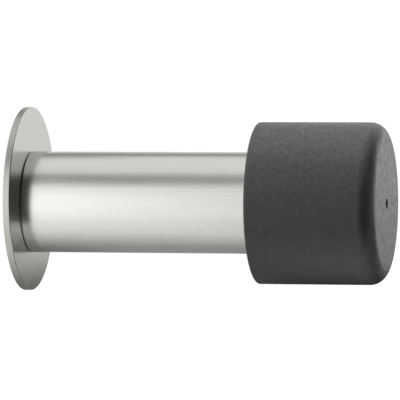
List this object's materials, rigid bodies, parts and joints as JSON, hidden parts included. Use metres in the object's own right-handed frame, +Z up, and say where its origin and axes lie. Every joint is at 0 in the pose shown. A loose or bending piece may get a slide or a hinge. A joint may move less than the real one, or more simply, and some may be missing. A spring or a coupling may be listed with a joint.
{
  "type": "wall door stop",
  "caption": "Wall door stop: a thin round rose, a plain satin steel tube that stands off from the wall, and a moulded rubber cap with a rounded front edge that the door meets.",
  "frame": {"origin": "on the stem's axis, in the plane of the wall that the rose lies against", "axes": "+X along the stem, away from the wall; +Z up; Y along the wall"},
  "size_m": [0.08, 0.04, 0.04],
  "materials": {
    "satin_stainless_rose": "stainless steel sheet, fine satin grain",
    "satin_stainless_tube": "stainless steel tube, fine satin grain along its length",
    "turned_steel": "plain turned steel",
    "moulded_rubber": "dark grey moulded rubber with a fine spark-eroded grain"
  },
  "bodies": {
    "root": {"wall_rose": "satin_stainless_rose", "stem_tube": "satin_stainless_tube", "threaded_base": "turned_steel", "rubber_buffer": "moulded_rubber"}
  },
  "joints": []
}
